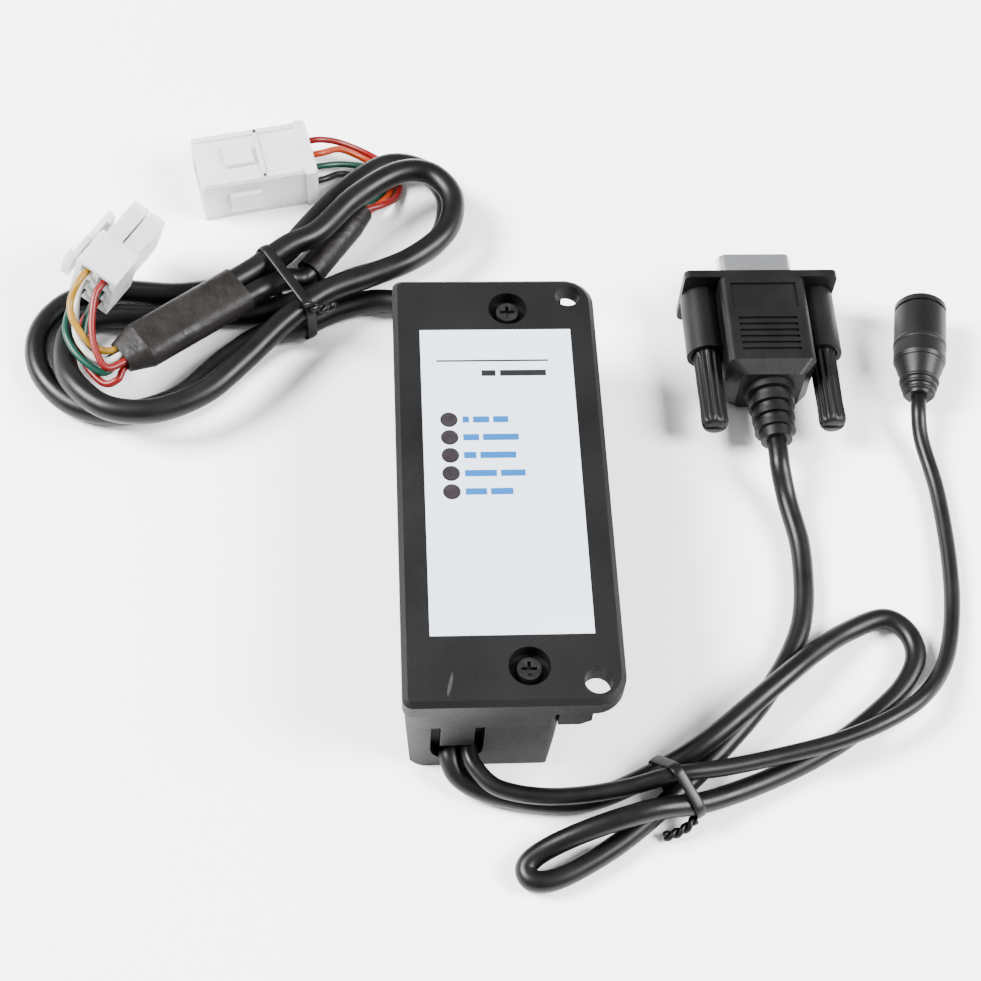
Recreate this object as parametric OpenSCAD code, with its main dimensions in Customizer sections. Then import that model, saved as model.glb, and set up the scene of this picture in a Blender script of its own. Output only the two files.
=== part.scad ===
// Bill and coin validator interface box: a wall-mount plastic case with a circuit board,
// and four cords with their connectors. Millimetres; origin at the bottom centre of the case.
// +X is the right side, +Y the rear and +Z up.

/* [Case] */
// Width of the lid plate, left to right
lid_w = 41; // [38:0.5:52]
// Length of the lid plate, front to rear
lid_l = 96; // [88:1:118]
// Height of the case, from its underside to the top of the lid
case_h = 27.6; // [26:0.2:34]
// Width of the base and of the lid's skirt
base_w = 28.5; // [27:0.5:34]
// Height of the base, up to the split line
split_h = 16.9; // [16:0.1:19]
// Thickness of the lid plate at the mounting ear
ear_t = 4.6; // [4:0.1:5.5]
// Wall thickness of the case
wall = 2.5; // [2:0.1:3]
// How far the lid plate stands out over the skirt
lip = 0.5; // [0.2:0.1:1]
// How far each side of the base leans in at the bottom
draft = 1.2; // [0:0.1:1.4]
// Chamfer around the top of the lid
top_chamfer = 1; // [0.5:0.1:1.4]

/* [Mounting holes] */
// Diameter of the two mounting holes
mount_d = 5.2; // [4:0.1:6.2]
// Distance between the two mounting holes, front to rear
mount_pitch = 87; // [70:1:90]

/* [Cord notches] */
// Width of the notch in each end wall of the base
notch_w = 10; // [9:0.1:11]
// Distance from the left side of the base to the middle of each notch
notch_in = 9.9; // [9:0.1:11]

/* [Lid screws] */
// Diameter of a screw's recess in the lid
recess_d = 7.8; // [6.5:0.1:8.4]
// Distance between the two lid screws
screw_pitch = 80.6; // [78:0.2:82]
// Shank diameter of a lid screw
screw_d = 3; // [2.5:0.1:3.2]

/* [Label and indicators] */
// Width of the label
label_w = 30.4; // [26:0.2:32]
// Length of the label
label_l = 68.9; // [60:0.5:76]
// Diameter of an indicator window
window_d = 2.9; // [2.4:0.1:3.2]
// Distance between indicator windows
window_pitch = 4.12; // [4.1:0.01:4.6]

/* [Circuit board] */
// Width of the circuit board
board_w = 21; // [20.6:0.1:21.4]
// Length of the circuit board
board_l = 68; // [66:1:70]
// Thickness of the circuit board
board_t = 1.6; // [1.2:0.1:2]

/* [Nine-pin plug] */
// Thickness of the moulded hood
hood_t = 15.3; // [14.6:0.1:16.5]
// Distance from the middle to each thumbscrew
thumb_in = 12.5; // [12.3:0.1:12.9]
// Diameter of a thumbscrew's head
thumb_d = 6; // [5:0.1:6.2]

/* [Power jack] */
// Outer diameter of the power jack
jack_d = 11.2; // [10.6:0.1:12]
// Length of the power jack's body
jack_l = 24.4; // [22:0.2:28]

/* [Six-way connectors] */
// Distance between neighbouring contacts
pin_pitch = 4.2; // [4.1:0.1:4.4]

/* [Hidden] */

$fn = 48;
// A cut runs this far past the face it opens
over = 1;

// Case
skirt_left = -lid_w / 2 + lip;
skirt_right = skirt_left + base_w;
base_mid = (skirt_left + skirt_right) / 2;
base_l = lid_l - 2 * lip;
plate_z = case_h - ear_t;
roof_t = 2.6;
roof_z = case_h - roof_t;
floor_t = 2;
corner_r = 2;
round_corner_r = 4.2;
lid_corner_r = 6;
// Ear screws sit midway between the skirt and the right edge, a little outwards
mount_x = skirt_right + (lid_w / 2 - skirt_right) * 0.56;
gusset_w = 6;
gusset_t = 1.6;

// Notches, tongues and glands
notch_x = skirt_left + notch_in;
notch_z = 7.6;
tongue_w = 6.4;
tongue_z = 9.1;
inner_y = base_l / 2 - wall;
gland_w = 12;
gland_t = 4;
rib_t = 1.5;
rib_h = 12;

// Lid screws
screw_x = skirt_right - 5.7;
seat_z = case_h - 3;
boss_d = 9.6;
post_d = 7;
head_d = 5.2;
head_t = 1.8;
screw_l = 15;
insert_d = 4.6;
insert_l = 5;
fit = 0.02;

// Circuit board
board_z = 7;
board_top = board_z + board_t;
standoff_d = 4.6;
standoff_in = 2.7;
standoff_end = 4;
board_screw_d = 2.2;

// Indicators
label_t = 0.15;
label_dy = 0.45;
window_x = base_mid - 4.3;
window_mid_y = 5.05;
window_rise = 0.1;
led_d = 3;
led_top = roof_z - 1.6;
led_l = 5;
lead_w = 0.5;

// Nine-pin plug, in its own frame: +Y towards the contacts, the cord enters at the origin
plug_at = [59.3, 20.3, hood_t / 2];
boot_l = 12.7;
hood_w = 18.6;
hood_back = boot_l;
flange_back = 37.2;
flange_w = 33.2;
flange_t = 1.8;
plate_w = 30.8;
plate_h = 12.5;
plate_t = 0.8;
channel_d = 8.5;
channel_back = 21.7;
bore_gap = 0.3;
bore_end = 33.7;
face_y = flange_back + flange_t;
insulator_in = 4;
pocket_w = 15.5;
pocket_h = 7.1;
room_w = 14;
room_h = 6;
thumb_back = 3.5;
thumb_head_l = 20.2;
thumb_shank_d = 2.8;
ring_y = 28.7;
ring_t = 1.2;

// Power jack, in its own frame: +Y towards the mouth, the cord enters at the origin
jack_at = [91.9, 32.3, jack_d / 2];
jack_turn = -10;
jack_rear_d = 8;
barrel_d = 7.6;
barrel_bore = 5.7;
barrel_l = 9;
jack_pin_d = 2;

// Six-way connectors, each in its own frame: +Y towards the mating face
receptacle_at = [-83.3, 56.9, 14];
receptacle_turn = [0, 18, -32];
plug_6_at = [-37.6, 98.8, 5.3];
plug_6_turn = 102;
receptacle_w = 2 * pin_pitch + 1.2;
receptacle_h = 3 * pin_pitch + 1.3;
receptacle_l = 19.6;
collar_l = 9;
plug_6_w = 3 * pin_pitch + 2.4;
plug_6_h = 2 * pin_pitch + 2.2;
plug_6_l = 26;
shroud_back = 12;
cavity = 2.8;
silo = 3.7;
latch_axis_y = 8;
latch_gap = 1.15;
latch_pin_d = 1;
latch_knuckle_d = 2;

// Sleeves
splice_turn = 36;
splice_start = [-77, 42, 9.2];
link_turn = 56;
link_start = [-38, 68.5, 3.2];

// Cord diameters, which their routes allow for
trunk_d = 5.2;
link_d = 4.8;
serial_d = 4.2;
power_d = 3.3;
wire_d = 1.5;
tie_t = 0.45;
tie_w = 2.4;

// Cord routes
trunk_path = [[-10, 45, 5.4], [-10, 51, 5.4], [-14, 57.5, 4.5], [-23, 60.5, 3.5],
    [-32.5, 58, 3.4], [-40, 54, 3.4], [-48, 51.5, 3.4], [-56.5, 44.5, 3.5],
    [-65.5, 35.5, 3.5], [-76.5, 32, 3.2], [-87, 34.5, 2.8], [-94.5, 43, 2.8],
    [-95.5, 53, 2.8], [-90, 61, 2.8], [-80, 64, 2.8], [-66, 63.2, 2.8],
    [-54.5, 65.8, 3], [-44.5, 72.5, 4], [-37, 82, 4.5], [-29, 91.5, 5],
    [-20, 97.5, 5.5], [-11.5, 96, 4.5], [-7, 89, 3.5], [-9, 78.5, 3],
    [-17.5, 71.2, 3], [-28.5, 66.8, 3], [-38.2, 61.6, 3.4], [-47, 58.3, 3.4],
    [-58, 57.2, 3], [-70, 56.7, 3.2], [-81, 56.7, 3.4], [-88, 54, 4],
    [-89.5, 46, 5.8], [-87, 37, 8.3], [-79.5, 29.5, 9.3], [-69.5, 28.5, 9.3],
    [-59.5, 33, 9.3], [-51.5, 41, 9.5], [-43, 51, 9.5], [-34.5, 58.5, 9.5],
    [-25, 63.2, 9], [-15.5, 68, 9], [-8, 75.5, 9], [-6.2, 85, 9],
    [-11, 91.5, 9.5], [-18.5, 91, 10.2], [-28, 84, 10.2], [-36, 74.8, 9.8],
    [-42.5, 70.6, 10.1], [-49.5, 65.3, 9.2], [-54.3, 61.7, 9.2], [-60.7, 57, 9.2]];
link_path = [[-57.7, 52.8, 9.2], [-51.2, 57.5, 9.2], [-47.4, 60.5, 8.6], [-43.4, 65.8, 4.4],
    [-39.8, 67, 3.2], [-38, 68.5, 3.2], [-33.5, 75.2, 3.2]];
serial_path = [[-11.3, -45, 5.1], [-11.3, -48.2, 5.1], [-9.5, -51.5, 3.4],
    [-4.5, -54.2, 2.4], [4, -56.3, 2.4], [14.5, -56.5, 2.4], [26, -52.2, 2.9],
    [37.5, -46.8, 6.4], [52.5, -35, 6.8], [62, -27, 4.8], [69.5, -21.8, 2.8],
    [77, -19, 2.4], [81.3, -22, 2.4], [82.3, -27.5, 2.4], [79.2, -33.5, 2.4],
    [73.5, -39, 2.4], [63.5, -46.2, 2.4], [51, -52.5, 2.5], [37, -58, 4.4],
    [26, -60.5, 7.2], [14.5, -63.5, 6], [6, -66.3, 3.4], [2.3, -69.1, 2.4],
    [3.5, -72, 2.4], [9, -71.2, 2.4], [20, -65, 2.4], [30.5, -56.6, 2.9],
    [41, -46.6, 2.3], [51.5, -35, 2.3], [60, -20.5, 2.3], [62.3, -4, 2.4],
    [60.6, 8, 4], [59.4, 14, 7], [59.3, 17, 7.65], [59.3, 20.3, 7.65]];
power_path = [[-7.7, -45, 7.1], [-7.7, -48.5, 7.1], [-6.4, -51.5, 6.9], [-2.8, -55, 6.5],
    [4, -56.8, 6.4], [12, -57, 6.5], [21.5, -55.8, 6.8], [30.5, -54, 8.2],
    [40.5, -52.4, 7.2], [50.5, -50.2, 6.5], [62.5, -47.3, 6.5], [73, -43.2, 6.5],
    [81.5, -37.6, 5.4], [88, -28.8, 2.6], [91.5, -17.5, 1.9], [93, -4.5, 1.9],
    [93.2, 11, 1.9], [91.4, 22.5, 3.6], [91.2, 28.4, 5.6], [91.9, 32.3, 5.6]];
yellow_path = [[-83.4, 58.1, 18.6], [-85.6, 54.6, 18.4], [-87.2, 51.2, 16.2],
    [-86.6, 47.6, 14.8], [-84, 44.2, 12.8], [-81.6, 42.9, 11], [-78.1, 43.5, 10.1],
    [-71.6, 48.2, 10.1]];
white_path = [[-84.5, 58.8, 14.6], [-86.1, 55.2, 14.4], [-86.4, 50.6, 13.2],
    [-86.2, 46, 11.7], [-83.6, 42, 10.8], [-80.2, 40.4, 10.2], [-77, 42, 10.1],
    [-70.6, 46.7, 10.1]];
red_a_path = [[-80, 56, 17.3], [-81.9, 53, 17.1], [-82.6, 49, 15.6], [-82.6, 44.6, 14],
    [-81.5, 40.6, 12.4], [-79.5, 38.2, 10.9], [-75.9, 40.5, 10.1], [-69.5, 45.2, 10.1]];
green_a_path = [[-81.1, 56.7, 13.4], [-82.9, 53.8, 13], [-84.6, 49.6, 11.4],
    [-84.6, 45.6, 9.6], [-81.6, 41.6, 8.5], [-78.1, 43.5, 8.3], [-71.6, 48.2, 8.3]];
green_b_path = [[-85.6, 59.5, 10.7], [-87.3, 56.4, 10.6], [-88.6, 52, 10.4],
    [-88.6, 47.4, 10.6], [-86.6, 43, 10.2], [-83.4, 39.8, 9.4], [-80.2, 38.6, 8.6],
    [-77, 42, 8.3], [-70.6, 46.7, 8.3]];
red_b_path = [[-82.2, 57.4, 9.4], [-83.9, 54.6, 9.2], [-85.9, 50.4, 9], [-86.2, 45.6, 8.2],
    [-84.2, 41, 7.4], [-80.6, 37, 7], [-77.6, 37.4, 7.8], [-75.9, 40.5, 8.3],
    [-69.5, 45.2, 8.3]];
plug_red_path = [[-28.4, 81.3, 4], [-25.6, 85.4, 4], [-21.8, 87.9, 2.9], [-18.6, 91.4, 1.2],
    [-17.6, 95.2, 0.9], [-19.4, 100.2, 0.9], [-24.6, 104.2, 1.4], [-31, 105, 4.5],
    [-35.6, 103.6, 7.2], [-39.5, 102.7, 7.4]];
plug_orange_path = [[-28.4, 81.3, 2.4], [-25.6, 85.4, 2.4], [-23.3, 88.6, 1.4],
    [-20.4, 92, 1.1], [-19.4, 95.4, 0.9], [-21, 99.4, 0.9], [-25.4, 102.5, 1.6],
    [-31, 102.6, 5], [-35, 99.6, 7.3], [-38.6, 98.6, 7.4]];
plug_green_path = [[-29.8, 82.2, 4], [-27, 86.4, 4], [-24.6, 89.6, 2.4], [-22.2, 92.6, 1.1],
    [-21.3, 95.8, 0.9], [-22.6, 98.6, 0.9], [-26.2, 100.8, 1.1], [-31, 100.6, 2.2],
    [-35, 99.4, 3.1], [-38.6, 98.6, 3.2]];
plug_black_path = [[-29.8, 82.2, 2.4], [-27, 86.4, 2.4], [-25.6, 89.6, 1.2],
    [-24, 93.2, 0.9], [-23.3, 95.6, 0.9], [-25, 97.6, 0.9], [-28, 98.3, 1],
    [-31.5, 98, 1.8], [-34.6, 95.6, 3], [-37.7, 94.5, 3.2]];

// ---- Cords ----

function unit(v) = v / norm(v);

// The way the path runs at point i
function along(path, i) =
    i == 0 ? unit(path[1] - path[0]) :
    i == len(path) - 1 ? unit(path[i] - path[i - 1]) :
    unit(unit(path[i] - path[i - 1]) + unit(path[i + 1] - path[i]));

// A ring of points around the path
function ring(middle, way, r, sides) =
    let (side = unit(cross(way, [0, 0, 1])))
    let (top = cross(side, way))
    [for (k = [0:sides - 1])
        middle + r * (cos(360 * k / sides) * side + sin(360 * k / sides) * top)];

// A round cord along a path, with a ring at each of its points and a flat face at each end
module cord(path, d, sides = 8) {
    last = len(path) - 1;
    points = [for (i = [0:last]) each ring(path[i], along(path, i), d / 2, sides)];
    walls = [for (i = [0:last - 1], k = [0:sides - 1])
        let (a = i * sides + k)
        let (b = i * sides + (k + 1) % sides)
        each [[a, b, b + sides], [a, b + sides, a + sides]]];
    start = [[for (k = [sides - 1:-1:0]) k]];
    end = [[for (k = [0:sides - 1]) last * sides + k]];
    polyhedron(points = points, faces = concat(walls, start, end));
}

// A flat tie around strands: each strand is [across, height, diameter]
module tie_loop(strands) {
    slack = 0.35;
    linear_extrude(tie_w, center = true) difference() {
        hull() for (s = strands) translate([s[0], s[1]]) circle(d = s[2] + 2 * (slack + tie_t), $fn = 32);
        hull() for (s = strands) translate([s[0], s[1]]) circle(d = s[2] + 2 * slack, $fn = 32);
    }
}

// ---- Case ----

// Places its children at the front and at the rear
module both_ends() {
    children();
    mirror([0, 1, 0]) children();
}

// A rectangle from its left and right sides and its length, with round corners
module rounded(left, right, length, r) {
    translate([left + r, -length / 2 + r])
        round_square(right - left - 2 * r, length - 2 * r, r);
}

// A rectangle grown by r all round, so that its corners are exact arcs
module round_square(w, l, r) {
    translate([-r, 0]) square([w + 2 * r, l]);
    translate([0, -r]) square([w, l + 2 * r]);
    for (x = [0, w], y = [0, l]) translate([x, y]) circle(r);
}

// The lid plate's outline: small corners at the left, large ones at the right
module plate_outline() {
    rounded(-lid_w / 2, lid_w / 2 - lid_corner_r, lid_l, corner_r);
    rounded(lid_w / 2 - 3 * lid_corner_r, lid_w / 2, lid_l, lid_corner_r);
}

// Outline of the base and of the skirt, with a larger radius at the front left
module base_outline() {
    difference() {
        rounded(skirt_left, skirt_right, base_l, corner_r);
        translate([skirt_left - over, -base_l / 2 - over])
            square(round_corner_r + over);
    }
    translate([skirt_left + round_corner_r, -base_l / 2 + round_corner_r]) circle(round_corner_r);
}

// Outline of the hollow inside the base and the skirt
module skirt_room() {
    translate([skirt_left + wall, -inner_y]) square([base_w - 2 * wall, 2 * inner_y]);
}

// The base's section across the case, narrower at the bottom
module draft_section(inset) {
    polygon([[skirt_left + draft + inset, 0], [skirt_right - draft - inset, 0],
        [skirt_right - inset, split_h], [skirt_right - inset, split_h + over],
        [skirt_left + inset, split_h + over], [skirt_left + inset, split_h]]);
}

module drafted(inset) {
    rotate([90, 0, 0]) linear_extrude(lid_l, center = true) draft_section(inset);
}

// A U-shaped notch through an end wall, open at the top
module notch() {
    translate([notch_x, -base_l / 2 - over, 0]) rotate([-90, 0, 0]) {
        translate([0, -notch_z]) cylinder(d = notch_w, h = wall + 2 * over);
        translate([-notch_w / 2, -split_h - over])
            cube([notch_w, split_h + over - notch_z, wall + 2 * over]);
    }
}

// The chamfered top of the lid plate: one cone at each corner
module plate_top() {
    small = corner_r + 0.2;
    hull() both_ends() {
        translate([small - lid_w / 2, lid_l / 2 - small, case_h - top_chamfer])
            cylinder(r1 = small, r2 = small - top_chamfer, h = top_chamfer, $fn = 32);
        translate([lid_w / 2 - lid_corner_r, lid_l / 2 - lid_corner_r, case_h - top_chamfer])
            cylinder(r1 = lid_corner_r, r2 = lid_corner_r - top_chamfer, h = top_chamfer, $fn = 32);
    }
}

module gusset() {
    foot = split_h + 0.1;
    translate([0, -base_l / 2 + 1, 0]) rotate([90, 0, 0])
        linear_extrude(gusset_t, center = true)
            polygon([[skirt_right - 0.2, plate_z + 0.2], [skirt_right + gusset_w, plate_z + 0.2],
                [skirt_right + gusset_w, foot + 1.6], [skirt_right + gusset_w - 2, foot],
                [skirt_right - 0.2, foot]]);
}

// A rib inside the skirt's left side that reaches down into the base
module locating_rib() {
    rib_l = 20;
    rib_w = 1.5;
    rib_gap = 0.3;
    reach = 2;
    translate([skirt_left + wall - 0.1, -rib_l / 2, split_h])
        cube([rib_w + 0.1, rib_l, plate_z - split_h + 0.1]);
    translate([skirt_left + wall + rib_gap, -rib_l / 2, split_h - reach])
        cube([rib_w - rib_gap, rib_l, reach + 0.1]);
}

module lid() {
    color([0.16, 0.16, 0.17]) difference() {
        union() {
            translate([0, 0, plate_z]) linear_extrude(ear_t - top_chamfer) plate_outline();
            plate_top();
            translate([0, 0, split_h]) linear_extrude(plate_z - split_h + 0.1) difference() {
                base_outline();
                skirt_room();
            }
            both_ends() translate([screw_x, screw_pitch / 2, split_h])
                cylinder(d = boss_d, h = seat_z - split_h);
            both_ends() gusset();
            both_ends() translate([notch_x - tongue_w / 2, inner_y, tongue_z])
                cube([tongue_w, wall, split_h - tongue_z + 0.1]);
            locating_rib();
            translate([2 * base_mid, 0, 0]) mirror([1, 0, 0]) locating_rib();
        }
        difference() {
            translate([skirt_left + wall, -inner_y, plate_z - over])
                cube([base_w - 2 * wall, 2 * inner_y, roof_z - plate_z + over]);
            both_ends() translate([screw_x, screw_pitch / 2, 0]) cylinder(d = boss_d, h = case_h);
        }
        both_ends() translate([screw_x, screw_pitch / 2, 0]) {
            translate([0, 0, seat_z]) cylinder(d = recess_d, h = case_h);
            cylinder(d = screw_d + 0.2, h = case_h);
        }
        both_ends() translate([mount_x, mount_pitch / 2, plate_z - over])
            cylinder(d = mount_d, h = ear_t + 2 * over);
        for (i = [0:4]) translate([window_x, window_y(i), roof_z - over])
            cylinder(d = window_d + 2 * fit, h = roof_t + 2 * over);
    }
}

module standoff_places() {
    for (x = [-1, 1], y = [-1, 1])
        translate([base_mid + x * (board_w / 2 - standoff_in), y * (board_l / 2 - standoff_end), 0])
            children();
}

module base_shell() {
    rib_y = inner_y - gland_t - 0.1 - rib_t;
    color([0.24, 0.24, 0.26]) difference() {
        union() {
            difference() {
                intersection() {
                    linear_extrude(split_h) base_outline();
                    drafted(0);
                }
                intersection() {
                    translate([0, 0, floor_t]) linear_extrude(split_h) skirt_room();
                    drafted(wall);
                }
                both_ends() notch();
            }
            both_ends() translate([screw_x, screw_pitch / 2, floor_t - 0.1])
                cylinder(d = post_d, h = split_h - floor_t + 0.1);
            standoff_places() translate([0, 0, floor_t - 0.1])
                cylinder(d = standoff_d, h = board_z - floor_t + 0.1);
            both_ends() for (x = [-1, 1])
                translate([notch_x + x * (gland_w / 2 - 1) - 1.25, rib_y, floor_t - 0.1])
                    cube([2.5, rib_t, rib_h - floor_t]);
        }
        both_ends() translate([screw_x, screw_pitch / 2, 0]) {
            translate([0, 0, split_h - insert_l]) cylinder(d = insert_d + 2 * fit, h = insert_l + over);
            translate([0, 0, floor_t + over]) cylinder(d = screw_d + 0.4, h = split_h);
        }
        standoff_places() translate([0, 0, floor_t]) cylinder(d = board_screw_d + 2 * fit, h = board_z);
    }
}

function window_y(i) = window_mid_y + (2 - i) * window_pitch;

module label() {
    color([0.86, 0.89, 0.92]) difference() {
        translate([-label_w / 2, label_dy - label_l / 2, case_h]) cube([label_w, label_l, label_t]);
        for (i = [0:4]) translate([window_x, window_y(i), case_h - over])
            cylinder(d = window_d + 2 * fit, h = 3);
    }
}

module window(i) {
    collar_t = 0.8;
    color([0.2, 0.2, 0.22]) translate([window_x, window_y(i), 0]) {
        translate([0, 0, roof_z]) cylinder(d = window_d, h = roof_t + label_t + window_rise);
        translate([0, 0, roof_z - collar_t]) cylinder(d = window_d + 1, h = collar_t);
    }
}

module status_leds() {
    color([0.9, 0.3, 0.25]) for (i = [0:4]) translate([window_x, window_y(i), 0]) {
        translate([0, 0, led_top - led_l]) cylinder(d = led_d, h = led_l - led_d / 2);
        translate([0, 0, led_top - led_d / 2]) sphere(d = led_d);
        translate([0, 0, led_top - led_l]) cylinder(d = led_d + 0.8, h = 1);
        for (x = [-1.27, 1.27])
            translate([x - lead_w / 2, -lead_w / 2, board_z - 1.5])
                cube([lead_w, lead_w, led_top - led_l - board_z + 1.6]);
    }
}

// A pan head screw with its shank below the origin
module pan_screw(d, l, head, t) {
    difference() {
        union() {
            translate([0, 0, -l]) cylinder(d = d, h = l + 0.1);
            cylinder(d1 = head, d2 = head * 0.86, h = t);
        }
        for (a = [0, 90]) rotate(a) translate([-head * 0.28, -head * 0.06, t * 0.4])
            cube([head * 0.56, head * 0.12, t]);
    }
}

module lid_screws() {
    color([0.2, 0.2, 0.21]) both_ends() translate([screw_x, screw_pitch / 2, seat_z])
        pan_screw(screw_d, screw_l, head_d, head_t);
}

module brass_inserts() {
    color([0.78, 0.62, 0.3]) both_ends() translate([screw_x, screw_pitch / 2, split_h - insert_l])
        difference() {
            cylinder(d = insert_d, h = insert_l);
            translate([0, 0, -over]) cylinder(d = screw_d + 2 * fit, h = insert_l + 2 * over);
        }
}

module board_screws() {
    color([0.75, 0.75, 0.77]) standoff_places() translate([0, 0, board_top])
        pan_screw(board_screw_d, 5, 4, 1.5);
}

// ---- Circuit board ----

module circuit_board() {
    color([0.1, 0.42, 0.25]) difference() {
        translate([base_mid - board_w / 2, -board_l / 2, board_z]) cube([board_w, board_l, board_t]);
        standoff_places() translate([0, 0, board_z - over])
            cylinder(d = board_screw_d + 0.3, h = board_t + 2 * over);
        for (i = [0:4], x = [-1.27, 1.27])
            translate([window_x + x - lead_w / 2 - fit, window_y(i) - lead_w / 2 - fit, board_z - over])
                cube([lead_w + 2 * fit, lead_w + 2 * fit, board_t + 2 * over]);
    }
}

// A dual in-line chip with its legs standing on the board
module dip_chip(pins, body_w) {
    length = pins / 2 * 2.54;
    difference() {
        translate([-body_w / 2, -length / 2, 0.5]) cube([body_w, length, 3.3]);
        translate([0, length / 2, 2.8]) cylinder(d = 1.8, h = 2);
    }
    for (side = [-1, 1], i = [0:pins / 2 - 1])
        translate([side * (body_w / 2 + 0.2) - 0.3, -length / 2 + 1.27 + i * 2.54 - 0.35, 0])
            cube([0.6, 0.7, 2]);
}

module controller_chip() {
    color([0.13, 0.13, 0.14]) translate([base_mid + 5, 12.4, board_top]) dip_chip(18, 6.4);
}

module serial_driver() {
    color([0.13, 0.13, 0.14]) translate([base_mid + 5, -13, board_top]) dip_chip(16, 6.4);
}

module optocouplers() {
    color([0.9, 0.9, 0.86]) for (y = [-9.8, -15.6])
        translate([base_mid - 4.6, y, board_top]) dip_chip(4, 6.4);
}

module voltage_regulator() {
    color([0.14, 0.14, 0.15]) translate([base_mid - 4.6, -22.6, board_top]) {
        translate([-3.3, -3, 0]) cube([6.6, 5, 2.3]);
        translate([-2.6, 2, 0]) cube([5.2, 1.2, 0.6]);
    }
}

module capacitors() {
    color([0.15, 0.2, 0.45]) {
        translate([base_mid - 7.1, 22.6, board_top]) cylinder(d = 5.8, h = 7);
        translate([base_mid - 1.4, 22.6, board_top]) cylinder(d = 4.4, h = 6);
    }
}

module crystal() {
    color([0.78, 0.78, 0.8]) translate([base_mid - 4.6, 17.4, board_top]) {
        translate([-3, -1.9, 0]) cube([6, 3.8, 3.4]);
        for (x = [-3, 3]) translate([x, 0, 0]) cylinder(d = 3.8, h = 3.4);
    }
}

// A right-angle pin header at a board end, its mouth towards the gland
module end_header() {
    translate([base_mid - 5, -board_l / 2, board_top]) difference() {
        cube([10, 5.8, 6]);
        for (i = [0:3]) translate([1.25 + i * 2.5, -over, 3]) rotate([-90, 0, 0])
            cylinder(d = 1.2, h = 3 + over);
    }
}

module front_header() {
    color([0.92, 0.9, 0.84]) end_header();
}

module rear_header() {
    color([0.92, 0.9, 0.84]) mirror([0, 1, 0]) end_header();
}

// One insulated lead from a gland to its header
module inner_lead(i) {
    gland_back = -inner_y + gland_t;
    board_end = -board_l / 2;
    x = base_mid - 3.75 + i * 2.5;
    cord([[notch_x - 2.4 + i * 1.6, gland_back, 6], [notch_x - 2.4 + i * 1.6, gland_back + 1.5, 6],
        [x, board_end - 1.5, board_top + 3], [x, board_end + 3, board_top + 3]], 1.1);
}

module inner_leads() {
    color([0.85, 0.7, 0.2]) both_ends() for (i = [0:3]) inner_lead(i);
}

module gland() {
    translate([notch_x - gland_w / 2, -inner_y, floor_t])
        cube([gland_w, gland_t, split_h - floor_t - 0.2]);
}

module front_gland() {
    color([0.12, 0.12, 0.12]) gland();
}

module rear_gland() {
    color([0.12, 0.12, 0.12]) mirror([0, 1, 0]) gland();
}

// ---- Nine-pin plug ----

module at_plug() {
    translate(plug_at) children();
}

// A bar along Y with a rectangular section and rounded long edges
module y_bar(y0, y1, w, h, r) {
    translate([0, y1, 0]) rotate([90, 0, 0]) linear_extrude(y1 - y0)
        translate([-w / 2 + r, -h / 2 + r]) round_square(w - 2 * r, h - 2 * r, r);
}

module thumb_sides() {
    for (s = [-1, 1]) translate([s * thumb_in, 0, 0]) children();
}

module y_rod(y0, y1, d) {
    translate([0, y0, 0]) rotate([-90, 0, 0]) cylinder(d = d, h = y1 - y0);
}

module db9_hood() {
    panel_depth = 0.5;
    color([0.13, 0.13, 0.14]) at_plug() difference() {
        union() {
            y_bar(hood_back + 3, flange_back + 0.1, hood_w, hood_t, 1.6);
            hull() {
                y_bar(hood_back, hood_back + 0.1, hood_w - 5, hood_t - 3, 1.6);
                y_bar(hood_back + 3, hood_back + 3.1, hood_w, hood_t, 1.6);
            }
            y_bar(flange_back, face_y, flange_w, hood_t, 1.2);
            thumb_sides() y_rod(channel_back, flange_back + 0.1, channel_d);
            y_bar(channel_back + 1, flange_back + 0.1, 2 * thumb_in, channel_d - 2.5, 0.6);
        }
        thumb_sides() y_rod(channel_back - over, bore_end, thumb_d + 2 * bore_gap);
        thumb_sides() y_rod(bore_end - over, face_y + over, thumb_shank_d + 0.6);
        translate([-plate_w / 2, face_y - plate_t, -plate_h / 2])
            cube([plate_w, plate_t + over, plate_h]);
        translate([-hood_w / 2 + 2.2, flange_back - 8, hood_t / 2 - panel_depth])
            cube([hood_w - 4.4, 6.4, 2]);
        translate([-room_w / 2, hood_back + 9, -room_h / 2])
            cube([room_w, face_y - insulator_in - hood_back - 9 + 0.1, room_h]);
        translate([-pocket_w / 2, face_y - insulator_in, -pocket_h / 2])
            cube([pocket_w, insulator_in + over, pocket_h]);
        for (i = [0:5]) translate([-hood_w / 2 + 3, hood_back + 5.2 + i * 1.6, hood_t / 2 - panel_depth])
            cube([hood_w - 6, 0.7, 2]);
    }
}

module serial_strain_relief() {
    color([0.12, 0.12, 0.13]) at_plug() difference() {
        union() {
            translate([0, 0, 0]) rotate([-90, 0, 0]) cylinder(d1 = 6.6, d2 = 8.4, h = boot_l);
            for (i = [0:2]) y_rod(2.2 + i * 2.9, 3.7 + i * 2.9, 8.6 + i * 0.5);
            y_rod(boot_l - 1.6, boot_l, 10.6);
        }
        y_rod(6, boot_l + over, serial_d);
    }
}

// The D-shaped outline of the plug's metal shell
module d_outline(w, h) {
    r = 2;
    lean = 1.2;
    hull() {
        for (s = [-1, 1]) {
            translate([s * (w / 2 - r), h / 2 - r]) circle(r, $fn = 32);
            translate([s * (w / 2 - r - lean), -h / 2 + r]) circle(r, $fn = 32);
        }
    }
}

module along_y(y0, y1) {
    translate([0, y1, 0]) rotate([90, 0, 0]) linear_extrude(y1 - y0) children();
}

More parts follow.
